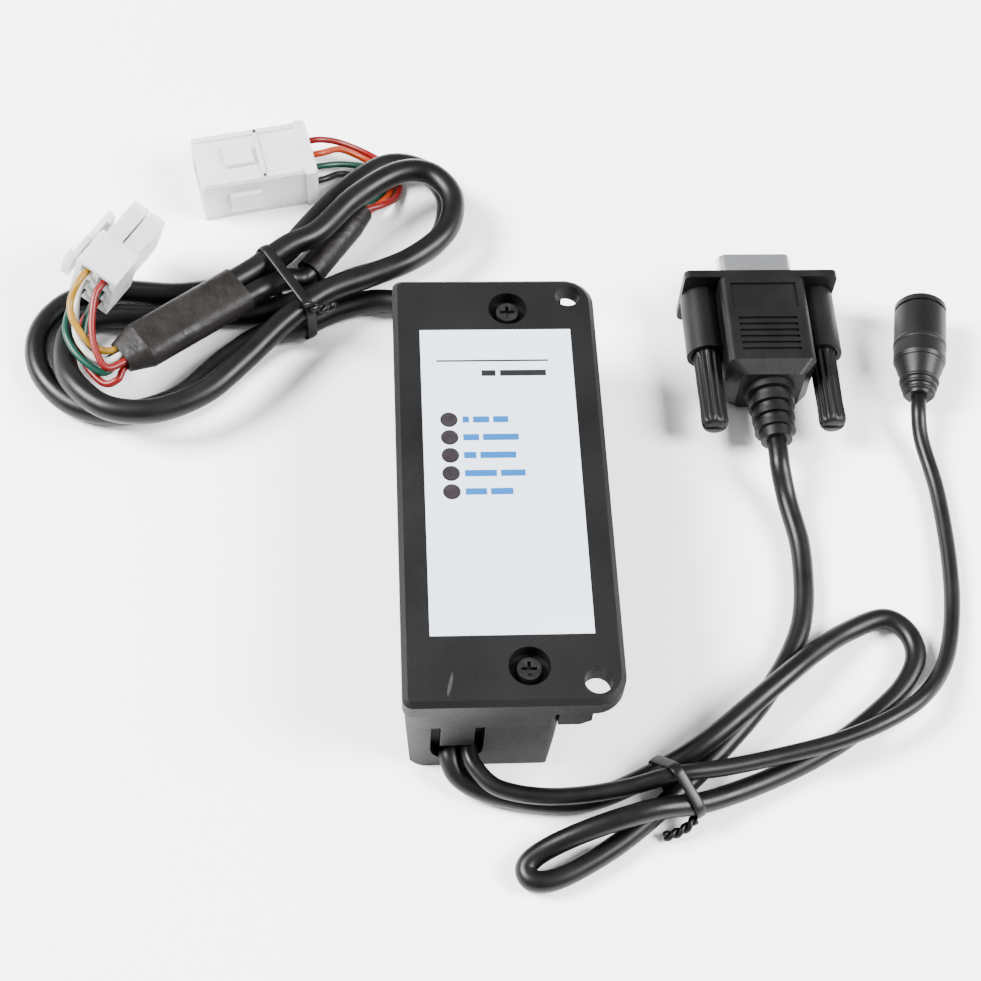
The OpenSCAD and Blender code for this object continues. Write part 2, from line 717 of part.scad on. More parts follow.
module db9_shell() {
    color([0.72, 0.73, 0.75]) at_plug() difference() {
        union() {
            translate([-plate_w / 2, face_y - plate_t, -plate_h / 2]) cube([plate_w, plate_t + 0.8, plate_h]);
            along_y(face_y, face_y + 7.2) d_outline(16.3, 7.9);
        }
        along_y(face_y - over, face_y + 7.2 + over) d_outline(pocket_w, pocket_h);
        thumb_sides() y_rod(face_y - over - 1, face_y + 2, thumb_shank_d + 0.6);
    }
}

// The nine contact places: five above and four below
module contact_places() {
    step = 2.77;
    for (i = [0:4]) translate([(i - 2) * step, 0, 1.42]) children();
    for (i = [0:3]) translate([(i - 1.5) * step, 0, -1.42]) children();
}

module db9_insulator() {
    color([0.1, 0.1, 0.12]) at_plug() difference() {
        along_y(face_y - insulator_in, face_y + 6.6) intersection() {
            d_outline(pocket_w, pocket_h);
            square([pocket_w - 0.1, pocket_h - 0.05], center = true);
        }
        contact_places() y_rod(face_y - 5, face_y + 8, 1.7);
    }
}

module db9_contacts() {
    color([0.83, 0.68, 0.32]) at_plug() contact_places() difference() {
        y_rod(face_y - 6, face_y + 6.2, 1.66);
        y_rod(face_y - 1, face_y + 7, 1.05);
    }
}

module thumbscrew() {
    tip = face_y + 1.5;
    color([0.16, 0.16, 0.17]) difference() {
        union() {
            y_rod(thumb_back + 1, thumb_back + thumb_head_l, thumb_d);
            translate([0, thumb_back, 0]) rotate([-90, 0, 0])
                cylinder(d1 = thumb_d - 1.6, d2 = thumb_d, h = 1);
            y_rod(thumb_back + thumb_head_l - 0.1, tip, thumb_shank_d);
        }
        translate([-thumb_d, thumb_back - over, -0.5]) cube([2 * thumb_d, 1.2 + over, 1]);
    }
}

module left_thumbscrew() {
    at_plug() translate([-thumb_in, 0, 0]) thumbscrew();
}

module right_thumbscrew() {
    at_plug() translate([thumb_in, 0, 0]) thumbscrew();
}

// The clip that holds a thumbscrew in its channel and slides with it
module screw_ring() {
    color([0.7, 0.7, 0.72]) difference() {
        y_rod(ring_y, ring_y + ring_t, thumb_d + 2 * bore_gap - 0.1);
        y_rod(ring_y - over, ring_y + ring_t + over, thumb_shank_d + 0.1);
    }
}

module left_ring() {
    at_plug() translate([-thumb_in, 0, 0]) screw_ring();
}

module right_ring() {
    at_plug() translate([thumb_in, 0, 0]) screw_ring();
}

// ---- Power jack ----

module at_jack() {
    translate(jack_at) rotate(jack_turn) children();
}

module jack_body() {
    color([0.12, 0.12, 0.13]) at_jack() difference() {
        union() {
            translate([0, 4.5, 0]) rotate([-90, 0, 0])
                cylinder(d1 = jack_rear_d, d2 = jack_d, h = jack_l * 0.2);
            translate([0, 0, 0]) rotate([-90, 0, 0]) cylinder(d1 = 5.4, d2 = jack_rear_d, h = 4.5);
            y_rod(4.4 + jack_l * 0.2, jack_l - 0.6, jack_d);
            translate([0, jack_l - 0.6, 0]) rotate([-90, 0, 0])
                cylinder(d1 = jack_d, d2 = jack_d - 1.2, h = 0.6);
        }
        y_rod(jack_l - 13, jack_l + over, barrel_d + 2 * fit);
        for (y = [jack_l * 0.32, jack_l - 2.4]) difference() {
            y_rod(y, y + 0.6, jack_d + over);
            y_rod(y - over, y + 2, jack_d - 0.8);
        }
    }
}

module jack_barrel() {
    color([0.8, 0.8, 0.82]) at_jack() difference() {
        y_rod(jack_l - 0.6 - barrel_l, jack_l - 0.6, barrel_d);
        y_rod(jack_l - 2 - barrel_l, jack_l + over, barrel_bore);
    }
}

module jack_insulator() {
    color([0.1, 0.1, 0.1]) at_jack() difference() {
        y_rod(jack_l - 13, jack_l - 0.6 - barrel_l, barrel_d);
        y_rod(jack_l - 14, jack_l, jack_pin_d + 2 * fit);
    }
}

module jack_pin() {
    color([0.83, 0.83, 0.85]) at_jack() {
        y_rod(jack_l - 13, jack_l - 2.4, jack_pin_d);
        translate([0, jack_l - 2.4, 0]) sphere(d = jack_pin_d);
    }
}

// ---- Six-way connectors ----

module at_receptacle() {
    translate(receptacle_at) rotate(receptacle_turn) children();
}

module receptacle_cells() {
    for (x = [-0.5, 0.5], z = [-1, 0, 1]) translate([x * pin_pitch, 0, z * pin_pitch]) children();
}

module square_rod(y0, y1, w) {
    translate([-w / 2, y0, -w / 2]) cube([w, y1 - y0, w]);
}

module receptacle_housing() {
    pivot_x = -receptacle_w / 2 - latch_gap;
    color([0.9, 0.9, 0.86]) at_receptacle() difference() {
        union() {
            translate([-receptacle_w / 2, 0, -receptacle_h / 2]) cube([receptacle_w, collar_l, receptacle_h]);
            receptacle_cells() square_rod(collar_l - 0.1, receptacle_l, silo);
            for (z = [-1, 1]) translate([pivot_x - 0.9, latch_axis_y - 1.2, z * 4.2 - 0.6])
                cube([latch_gap + 1, 2.4, 1.2]);
            translate([pivot_x, latch_axis_y, -4.2]) cylinder(d = latch_pin_d, h = 8.4);
        }
        receptacle_cells() square_rod(-over, receptacle_l + over, cavity);
    }
}

module receptacle_latch() {
    pivot_x = -receptacle_w / 2 - latch_gap;
    lever_t = 1.2;
    lever_h = 6.6;
    color([0.92, 0.92, 0.88]) at_receptacle() translate([pivot_x, 0, -lever_h / 2]) difference() {
        union() {
            translate([0, latch_axis_y, 0]) cylinder(d = latch_knuckle_d, h = lever_h);
            translate([-1.3, 0.4, 0]) cube([lever_t, latch_axis_y + 7, lever_h]);
            translate([-2.1, 0.4, 0]) cube([0.9, 2.4, lever_h]);
            translate([-0.2, latch_axis_y + 5, 0]) cube([0.9, 2, lever_h]);
            translate([-1, latch_axis_y - 0.9, 0]) cube([1, 1.8, lever_h]);
            translate([-1.3, latch_axis_y + 5, 0]) cube([1.3, 2, lever_h]);
        }
        translate([0, latch_axis_y, -over]) cylinder(d = latch_pin_d + 0.1, h = lever_h + 2 * over);
    }
}

module receptacle_terminals() {
    color([0.8, 0.76, 0.6]) at_receptacle() receptacle_cells() {
        difference() {
            square_rod(6, receptacle_l - 1, cavity - 0.1);
            square_rod(9, receptacle_l, 1.8);
        }
        y_rod(1, 6.1, 1.9);
    }
}

module at_plug_6() {
    translate(plug_6_at) rotate(plug_6_turn) children();
}

module plug_cells() {
    for (x = [-1, 0, 1], z = [-0.5, 0.5]) translate([x * pin_pitch, 0, z * pin_pitch]) children();
}

module plug_housing() {
    shroud_wall = 1.1;
    color([0.9, 0.9, 0.86]) at_plug_6() difference() {
        union() {
            translate([-plug_6_w / 2, 0, -plug_6_h / 2]) cube([plug_6_w, plug_6_l, plug_6_h]);
            translate([-plug_6_w / 2 - 0.5, 0.6, -plug_6_h / 2]) cube([plug_6_w + 1, 2, plug_6_h]);
            for (s = [-1, 1]) translate([s * (plug_6_w / 2 + 0.3), 13, 0]) {
                translate([-0.9, 0, -2.6]) cube([1.8, 7, 5.2]);
            }
        }
        translate([-plug_6_w / 2 + shroud_wall, shroud_back, -plug_6_h / 2 + shroud_wall])
            cube([plug_6_w - 2 * shroud_wall, plug_6_l, plug_6_h - 2 * shroud_wall]);
        plug_cells() square_rod(-over, shroud_back + over, cavity);
    }
}

module plug_terminals() {
    color([0.8, 0.76, 0.6]) at_plug_6() plug_cells() {
        square_rod(5, shroud_back - 0.5, cavity - 0.1);
        y_rod(1, 5.1, 1.9);
        y_rod(shroud_back - 0.6, plug_6_l - 4, 1.4);
    }
}

// ---- Sleeves ----

module x_rod(x0, x1, d) {
    translate([x0, 0, 0]) rotate([0, 90, 0]) cylinder(d = d, h = x1 - x0);
}

module splice_sleeve() {
    length = 30;
    pair_y = 2.6;
    wire_step = 1.85;
    color([0.14, 0.13, 0.12]) translate(splice_start) rotate(splice_turn) difference() {
        hull() {
            for (y = [-1, 1]) {
                translate([0, y * 1.6, 0]) x_rod(0, 0.5, 4.4);
                translate([0, y * 2.4, 0]) x_rod(5, length, 6.4);
            }
        }
        for (y = [-pair_y, pair_y]) translate([0, y, 0])
            x_rod(length - 9, length + over, y > 0 ? trunk_d + 0.1 : link_d + 0.1);
        for (y = [-1, 0, 1], z = [-0.9, 0.9]) translate([0, y * wire_step, z])
            x_rod(-over, 9.5, wire_d + 0.1);
    }
}

module link_sleeve() {
    length = 21;
    color([0.14, 0.13, 0.12]) translate(link_start) rotate(link_turn) difference() {
        rotate([0, 90, 0]) rotate_extrude()
            polygon([[0, 0], [3.2, 0], [3.2, length - 5], [2.6, length], [0, length]]);
        x_rod(-over, 9, link_d + 0.1);
        for (y = [-0.85, 0.85], z = [-0.84, 0.84]) translate([0, y, z])
            x_rod(length - 6, length + over, wire_d + 0.1);
    }
}

// ---- Cord nodes ----

module trunk_cable() {
    color([0.13, 0.13, 0.14]) cord(trunk_path, trunk_d, 10);
}

module link_cable() {
    color([0.13, 0.13, 0.14]) cord(link_path, link_d, 10);
}

module serial_cable() {
    color([0.13, 0.13, 0.14]) cord(serial_path, serial_d, 10);
}

module power_cable() {
    color([0.13, 0.13, 0.14]) cord(power_path, power_d);
}

module yellow_wire() {
    color([0.93, 0.8, 0.15]) cord(yellow_path, wire_d);
}

module white_wire() {
    color([0.92, 0.92, 0.9]) cord(white_path, wire_d);
}

module green_wire_a() {
    color([0.1, 0.45, 0.35]) cord(green_a_path, wire_d);
}

module green_wire_b() {
    color([0.1, 0.45, 0.35]) cord(green_b_path, wire_d);
}

module red_wire_a() {
    color([0.75, 0.12, 0.1]) cord(red_a_path, wire_d);
}

module red_wire_b() {
    color([0.75, 0.12, 0.1]) cord(red_b_path, wire_d);
}

module plug_red_wire() {
    color([0.75, 0.12, 0.1]) cord(plug_red_path, wire_d);
}

module plug_orange_wire() {
    color([0.9, 0.4, 0.1]) cord(plug_orange_path, wire_d);
}

module plug_green_wire() {
    color([0.1, 0.45, 0.35]) cord(plug_green_path, wire_d);
}

module plug_black_wire() {
    color([0.1, 0.1, 0.1]) cord(plug_black_path, wire_d);
}

// Each tie stands across its bundle; a strand is [across, height, diameter]
module rear_tie() {
    strands = [[8.5, 3.4, trunk_d], [8.2, 9.5, trunk_d], [-9.1, 3.6, trunk_d], [-6.3, 9.6, trunk_d],
        [1.9, 3.4, trunk_d]];
    color([0.1, 0.1, 0.1]) translate([-43.3, 61.8, 0]) rotate([90, 0, -58.5]) tie_loop(strands);
}

module front_tie() {
    strands = [[-4.7, 3.4, serial_d], [4.6, 5.2, serial_d], [0.6, 2.9, serial_d], [-1.2, 8.2, power_d]];
    color([0.1, 0.1, 0.1]) translate([31.5, -55, 0]) rotate([90, 0, -57.3]) tie_loop(strands);
}

lid();
base_shell();
label();
window(0);  // window_1
window(1);  // window_2
window(2);  // window_3
window(3);  // window_4
window(4);  // window_5
status_leds();
lid_screws();
brass_inserts();
board_screws();
circuit_board();
controller_chip();
serial_driver();
optocouplers();
voltage_regulator();
capacitors();
crystal();
front_header();
rear_header();
inner_leads();
front_gland();
rear_gland();
db9_hood();
serial_strain_relief();
db9_shell();
db9_insulator();
db9_contacts();
left_thumbscrew();
right_thumbscrew();
left_ring();
right_ring();
jack_body();
jack_barrel();
jack_insulator();
jack_pin();
receptacle_housing();
receptacle_latch();
receptacle_terminals();
plug_housing();
plug_terminals();
splice_sleeve();
link_sleeve();
trunk_cable();
link_cable();
serial_cable();
power_cable();
yellow_wire();
white_wire();
green_wire_a();
green_wire_b();
red_wire_a();
red_wire_b();
plug_red_wire();
plug_orange_wire();
plug_green_wire();
plug_black_wire();
rear_tie();
front_tie();
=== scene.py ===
"""Looks of the interface box: case, label, cords, connectors, ties, light and camera.

Everything is in metres in the CAD frame. Sizes are written in millimetres and scaled once, by MM.
"""

import math

import bmesh
import bpy
from mathutils import Matrix, Vector


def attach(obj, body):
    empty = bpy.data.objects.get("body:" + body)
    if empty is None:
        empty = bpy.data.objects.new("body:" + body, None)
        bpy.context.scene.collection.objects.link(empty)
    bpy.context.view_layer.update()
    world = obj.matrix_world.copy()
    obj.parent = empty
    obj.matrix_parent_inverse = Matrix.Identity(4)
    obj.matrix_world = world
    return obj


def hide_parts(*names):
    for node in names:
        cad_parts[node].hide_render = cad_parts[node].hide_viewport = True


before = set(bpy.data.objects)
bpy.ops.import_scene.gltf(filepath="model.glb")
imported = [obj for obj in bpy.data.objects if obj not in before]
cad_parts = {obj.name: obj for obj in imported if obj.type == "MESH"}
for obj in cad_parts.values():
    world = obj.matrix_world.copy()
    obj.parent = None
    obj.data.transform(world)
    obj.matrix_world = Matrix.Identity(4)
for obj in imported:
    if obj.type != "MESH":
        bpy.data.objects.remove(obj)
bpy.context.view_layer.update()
MM = 0.001


# ---------------------------------------------------------------- camera

CAMERA_AT = (-27.34, -195.32, 344.12)
CAMERA_PITCH = 58.5
CAMERA_YAW = 7.317
CAMERA_ROLL = 5.485
CAMERA_LENS = 71.14


def make_camera():
    """A camera that looks down at the object from the front left."""
    pitch = math.radians(CAMERA_PITCH)
    yaw = math.radians(CAMERA_YAW)
    roll = math.radians(CAMERA_ROLL)
    ahead = Vector((math.sin(yaw) * math.cos(pitch), math.cos(yaw) * math.cos(pitch), -math.sin(pitch)))
    level = Vector((math.cos(yaw), -math.sin(yaw), 0))
    upright = level.cross(ahead)
    right = level * math.cos(roll) + upright * math.sin(roll)
    up = upright * math.cos(roll) - level * math.sin(roll)
    data = bpy.data.cameras.new("camera")
    data.lens = CAMERA_LENS
    data.sensor_width = 36
    data.clip_start = 0.01
    data.clip_end = 10
    camera = bpy.data.objects.new("camera", data)
    turn = Matrix((right, up, -ahead)).transposed().to_4x4()
    camera.matrix_world = Matrix.Translation(Vector(CAMERA_AT) * MM) @ turn
    bpy.context.scene.collection.objects.link(camera)
    bpy.context.scene.camera = camera


make_camera()


# ---------------------------------------------------------------- materials


def new_material(name):
    material = bpy.data.materials.new(name)
    material.use_nodes = True
    tree = material.node_tree
    return material, tree, tree.nodes["Principled BSDF"]


def noise_node(tree, scale, detail=3.0, rough=0.55):
    """Noise in the object's own space; scale is cells per metre."""
    place = tree.nodes.new("ShaderNodeTexCoord")
    noise = tree.nodes.new("ShaderNodeTexNoise")
    noise.inputs["Scale"].default_value = scale
    noise.inputs["Detail"].default_value = detail
    noise.inputs["Roughness"].default_value = rough
    tree.links.new(place.outputs["Object"], noise.inputs["Vector"])
    return noise.outputs["Fac"]


def spread(tree, factor, low, high):
    """Maps the middle of a noise onto low to high."""
    node = tree.nodes.new("ShaderNodeMapRange")
    node.inputs["From Min"].default_value = 0.3
    node.inputs["From Max"].default_value = 0.7
    node.inputs["To Min"].default_value = low
    node.inputs["To Max"].default_value = high
    tree.links.new(factor, node.inputs["Value"])
    return node.outputs["Result"]


def blend_colours(tree, factor, first, second):
    """Mixes two linear colours by a factor."""
    node = tree.nodes.new("ShaderNodeMix")
    node.data_type = "RGBA"
    node.inputs["A"].default_value = (*first, 1)
    node.inputs["B"].default_value = (*second, 1)
    tree.links.new(factor, node.inputs["Factor"])
    return node.outputs["Result"]


def bump_on(tree, shader, height, distance, strength=1.0):
    node = tree.nodes.new("ShaderNodeBump")
    node.inputs["Distance"].default_value = distance
    node.inputs["Strength"].default_value = strength
    tree.links.new(height, node.inputs["Height"])
    tree.links.new(node.outputs["Normal"], shader.inputs["Normal"])


def finish_of(name, colour, other, rough, grain, depth, blotch=60, metallic=0.0, coat=0.0, gloss=0.5):
    """A surface with two close colours in blotches, uneven roughness and a fine grain.

    colour and other are linear; rough is the lowest and highest roughness; grain is in cells per
    metre and depth in millimetres; gloss is the strength of the plain reflection.
    """
    material, tree, shader = new_material(name)
    shader.inputs["Metallic"].default_value = metallic
    shader.inputs["Coat Weight"].default_value = coat
    shader.inputs["Specular IOR Level"].default_value = gloss
    patches = noise_node(tree, blotch, 4)
    mixed = blend_colours(tree, spread(tree, patches, 0, 1), colour, other)
    tree.links.new(mixed, shader.inputs["Base Color"])
    tree.links.new(spread(tree, patches, *rough), shader.inputs["Roughness"])
    bump_on(tree, shader, noise_node(tree, grain), depth * MM)
    return material


def nylon_material():
    """Natural nylon: milky, letting some light through."""
    material = finish_of("nylon", (0.62, 0.64, 0.64), (0.70, 0.71, 0.70), (0.24, 0.38), 900, 0.03, 180)
    shader = material.node_tree.nodes["Principled BSDF"]
    shader.inputs["Subsurface Weight"].default_value = 0.45
    shader.inputs["Subsurface Radius"].default_value = (1.0, 0.95, 0.9)
    shader.inputs["Subsurface Scale"].default_value = 0.003
    shader.inputs["Transmission Weight"].default_value = 0.35
    shader.inputs["IOR"].default_value = 1.5
    return material


def cord_material():
    """Black PVC with a faint lengthwise unevenness and dust."""
    colours = (0.0008, 0.0008, 0.0009), (0.0015, 0.0015, 0.0017)
    return finish_of("cord_jacket", *colours, (0.32, 0.46), 1400, 0.02, 130, gloss=0.2)


def wire_material(name, colour):
    """Coloured wire insulation."""
    darker = tuple(c * 0.8 for c in colour)
    return finish_of(name, colour, darker, (0.32, 0.46), 1600, 0.01, 240, gloss=0.3)


MATERIALS = {
    "lid": finish_of(
        "lid_plastic", (0.0012, 0.0012, 0.0014), (0.0022, 0.0022, 0.0024), (0.44, 0.58), 2600, 0.07, 45,
        gloss=0.17,
    ),
    "base": finish_of(
        "base_plastic", (0.0014, 0.0014, 0.0016), (0.0026, 0.0026, 0.0029), (0.48, 0.62), 2200, 0.07,
        45, gloss=0.17,
    ),
    "label": finish_of("label_film", (0.42, 0.48, 0.56), (0.47, 0.52, 0.59), (0.38, 0.50), 700, 0.01, 35),
    "print_blue": finish_of(
        "print_blue", (0.001, 0.066, 0.21), (0.002, 0.076, 0.24), (0.5, 0.6), 1500, 0.005, gloss=0.2,
    ),
    "print_black": finish_of(
        "print_black", (0.003, 0.003, 0.004), (0.005, 0.005, 0.006), (0.5, 0.6), 1500, 0.005, gloss=0.2,
    ),
    "window": finish_of(
        "window_plastic", (0.006, 0.004, 0.006), (0.014, 0.010, 0.013), (0.12, 0.2), 900, 0.01, 700,
        coat=0.6,
    ),
    "dark_steel": finish_of(
        "dark_steel", (0.02, 0.02, 0.022), (0.04, 0.04, 0.042), (0.25, 0.4), 1800, 0.01, 500, 0.85,
    ),
    "tin": finish_of("tin", (0.52, 0.53, 0.55), (0.42, 0.43, 0.45), (0.22, 0.36), 1500, 0.01, 300, 1.0),
    "brass": finish_of("brass", (0.60, 0.42, 0.17), (0.5, 0.34, 0.13), (0.25, 0.4), 1500, 0.01, 300, 1.0),
    "hood": finish_of(
        "hood_plastic", (0.0010, 0.0010, 0.0012), (0.0018, 0.0018, 0.0020), (0.38, 0.52), 1900, 0.04,
        120, gloss=0.2,
    ),
    "scuff": finish_of(
        "rubbed_plastic", (0.006, 0.006, 0.006), (0.016, 0.016, 0.016), (0.6, 0.8), 3000, 0.05, 900,
        gloss=0.3,
    ),
    "rubber": finish_of(
        "gland_rubber", (0.002, 0.002, 0.002), (0.003, 0.003, 0.003), (0.6, 0.75), 1500, 0.03,
        gloss=0.25,
    ),
    "sleeve": finish_of(
        "sleeve_plastic", (0.0022, 0.0014, 0.0011), (0.0036, 0.0026, 0.0021), (0.40, 0.60), 420, 0.22,
        160, gloss=0.24,
    ),
    "board": finish_of(
        "board_laminate", (0.02, 0.16, 0.07), (0.03, 0.2, 0.09), (0.3, 0.45), 900, 0.02, 150,
    ),
    "epoxy": finish_of(
        "chip_epoxy", (0.004, 0.004, 0.004), (0.007, 0.007, 0.007), (0.5, 0.6), 2500, 0.02, gloss=0.3,
    ),
    "lamp": finish_of("lamp_epoxy", (0.32, 0.02, 0.015), (0.4, 0.03, 0.02), (0.12, 0.2), 900, 0.01),
    "lead": wire_material("lead_plastic", (0.35, 0.20, 0.01)),
    "nylon": nylon_material(),
    "cord": cord_material(),
    "yellow": wire_material("yellow_wire", (0.20, 0.105, 0.0005)),
    "white": wire_material("white_wire", (0.42, 0.42, 0.39)),
    "green": wire_material("green_wire", (0.001, 0.034, 0.022)),
    "red": wire_material("red_wire", (0.12, 0.001, 0.001)),
    "orange": wire_material("orange_wire", (0.24, 0.022, 0.001)),
    "black": wire_material("black_wire", (0.003, 0.003, 0.003)),
}

NODE_MATERIALS = {
    "lid": ["lid"],
    "base": ["base_shell"],
    "label": ["label"],
    "window": ["window_1", "window_2", "window_3", "window_4", "window_5"],
    "dark_steel": ["lid_screws"],
    "brass": ["brass_inserts", "db9_contacts", "receptacle_terminals", "plug_terminals"],
    "tin": ["board_screws", "crystal", "left_ring", "right_ring", "db9_shell", "jack_barrel", "jack_pin"],
    "board": ["circuit_board"],
    "epoxy": ["controller_chip", "serial_driver", "voltage_regulator", "capacitors", "db9_insulator",
              "jack_insulator"],
    "nylon": ["optocouplers", "front_header", "rear_header", "receptacle_housing", "receptacle_latch",
              "plug_housing"],
    "lamp": ["status_leds"],
    "lead": ["inner_leads"],
    "rubber": ["front_gland", "rear_gland"],
    "hood": ["db9_hood", "serial_strain_relief", "left_thumbscrew", "right_thumbscrew", "jack_body"],
    "sleeve": ["splice_sleeve", "link_sleeve"],
    "cord": ["rear_tie", "front_tie"],
}


def dress(piece, key):
    """Gives a piece one material."""
    piece.data.materials.clear()
    piece.data.materials.append(MATERIALS[key])


for key, names in NODE_MATERIALS.items():
    for node_name in names:
        dress(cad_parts[node_name], key)


# ---------------------------------------------------------------- shapes


def place(piece, body, *replaced):
    """Puts a new piece in the scene, riding on a body, in place of any CAD nodes."""
    if piece.name not in bpy.context.scene.collection.objects:
        bpy.context.scene.collection.objects.link(piece)
    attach(piece, body)
    if replaced:
        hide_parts(*replaced)
    return piece


def mesh_piece(name, points, faces, key, smooth=True):
    """A mesh from points in millimetres."""
    mesh = bpy.data.meshes.new(name)
    mesh.from_pydata([Vector(p) * MM for p in points], [], faces)
    mesh.validate()
    work = bmesh.new()
    work.from_mesh(mesh)
    bmesh.ops.recalc_face_normals(work, faces=work.faces)
    work.to_mesh(mesh)
    work.free()
    for face in mesh.polygons:
        face.use_smooth = smooth
    piece = bpy.data.objects.new(name, mesh)
    dress(piece, key)
    return piece


def soft_edges(piece, width, segments=3, angle=35):
    """Rounds a piece's sharp edges by a width in millimetres."""
    bevel = piece.modifiers.new("edges", "BEVEL")
    bevel.width = width * MM
    bevel.segments = segments
    bevel.limit_method = "ANGLE"
    bevel.angle_limit = math.radians(angle)
    bevel.harden_normals = False


def tube_points(route, steps):
    """A smooth line through a route's points."""
    pts = [Vector(p) for p in route]
    pts = [pts[0] * 2 - pts[1]] + pts + [pts[-1] * 2 - pts[-2]]
    line = []
    for i in range(1, len(pts) - 2):
        a, b, c, d = pts[i - 1 : i + 3]
        for k in range(steps):
            t = k / steps
            square = 2 * a - 5 * b + 4 * c - d
            cube = 3 * b - a - 3 * c + d
            line.append(0.5 * (2 * b + (c - a) * t + square * t**2 + cube * t**3))
    line.append(pts[-2])
    return line


def line_length(line):
    return sum((b - a).length for a, b in zip(line, line[1:]))


def cord_curve(name, route, diameter, key, steps=8):
    """A round cord as one open spline through the route's points."""
    line = tube_points(route, steps)
    curve = bpy.data.curves.new(name, "CURVE")
    curve.dimensions = "3D"
    curve.bevel_depth = diameter / 2 * MM
    curve.bevel_resolution = 6
    curve.use_fill_caps = True
    spline = curve.splines.new("POLY")
    spline.points.add(len(line) - 1)
    for point, place_at in zip(spline.points, line):
        point.co = (*(place_at * MM), 1)
    spline.use_smooth = True
    piece = bpy.data.objects.new(name, curve)
    dress(piece, key)
    return piece, line_length(line) * MM


# ---------------------------------------------------------------- cords

TRUNK_D = 5.2
LINK_D = 4.8
SERIAL_D = 4.2
POWER_D = 3.3
WIRE_D = 1.5

TRUNK = [
    (-10, 45, 5.4), (-10, 51, 5.4), (-14, 57.5, 4.5), (-23, 60.5, 3.5), (-32.5, 58, 3.4), (-40, 54, 3.4),
    (-48, 51.5, 3.4), (-56.5, 44.5, 3.5), (-65.5, 35.5, 3.5), (-76.5, 32, 3.2), (-87, 34.5, 2.8),
    (-94.5, 43, 2.8), (-95.5, 53, 2.8), (-90, 61, 2.8), (-80, 64, 2.8), (-66, 63.2, 2.8), (-54.5, 65.8, 3),
    (-44.5, 72.5, 4), (-37, 82, 4.5), (-29, 91.5, 5), (-20, 97.5, 5.5), (-11.5, 96, 4.5), (-7, 89, 3.5),
    (-9, 78.5, 3), (-17.5, 71.2, 3), (-28.5, 66.8, 3), (-38.2, 61.6, 3.4), (-47, 58.3, 3.4), (-58, 57.2, 3),
    (-70, 56.7, 3.2), (-81, 56.7, 3.4), (-88, 54, 4), (-89.5, 46, 5.8), (-87, 37, 8.3), (-79.5, 29.5, 9.3),
    (-69.5, 28.5, 9.3), (-59.5, 33, 9.3), (-51.5, 41, 9.5), (-43, 51, 9.5), (-34.5, 58.5, 9.5),
    (-25, 63.2, 9), (-15.5, 68, 9), (-8, 75.5, 9), (-6.2, 85, 9), (-11, 91.5, 9.5), (-18.5, 91, 10.2),
    (-28, 84, 10.2), (-36, 74.8, 9.8), (-42.5, 70.6, 10.1), (-49.5, 65.3, 9.2), (-54.3, 61.7, 9.2),
    (-60.7, 57, 9.2),
]
LINK = [
    (-57.7, 52.8, 9.2), (-51.2, 57.5, 9.2), (-47.4, 60.5, 8.6), (-43.4, 65.8, 4.4), (-39.8, 67, 3.2),
    (-38, 68.5, 3.2), (-33.5, 75.2, 3.2),
]
SERIAL = [
    (-11.3, -45, 5.1), (-11.3, -48.2, 5.1), (-9.5, -51.5, 3.4), (-4.5, -54.2, 2.4), (4, -56.3, 2.4),
    (14.5, -56.5, 2.4), (26, -52.2, 2.9), (37.5, -46.8, 6.4), (52.5, -35, 6.8), (62, -27, 4.8),
    (69.5, -21.8, 2.8), (77, -19, 2.4), (81.3, -22, 2.4), (82.3, -27.5, 2.4), (79.2, -33.5, 2.4),
    (73.5, -39, 2.4), (63.5, -46.2, 2.4), (51, -52.5, 2.5), (37, -58, 4.4), (26, -60.5, 7.2),
    (14.5, -63.5, 6), (6, -66.3, 3.4), (2.3, -69.1, 2.4), (3.5, -72, 2.4), (9, -71.2, 2.4),
    (20, -65, 2.4), (30.5, -56.6, 2.9), (41, -46.6, 2.3), (51.5, -35, 2.3), (60, -20.5, 2.3),
    (62.3, -4, 2.4), (60.6, 8, 4), (59.4, 14, 7), (59.3, 17, 7.65), (59.3, 20.3, 7.65),
]
POWER = [
    (-7.7, -45, 7.1), (-7.7, -48.5, 7.1), (-6.4, -51.5, 6.9), (-2.8, -55, 6.5), (4, -56.8, 6.4),
    (12, -57, 6.5), (21.5, -55.8, 6.8), (30.5, -54, 8.2), (40.5, -52.4, 7.2), (50.5, -50.2, 6.5),
    (62.5, -47.3, 6.5), (73, -43.2, 6.5), (81.5, -37.6, 5.4), (88, -28.8, 2.6), (91.5, -17.5, 1.9),
    (93, -4.5, 1.9), (93.2, 11, 1.9), (91.4, 22.5, 3.6), (91.2, 28.4, 5.6), (91.9, 32.3, 5.6),
]

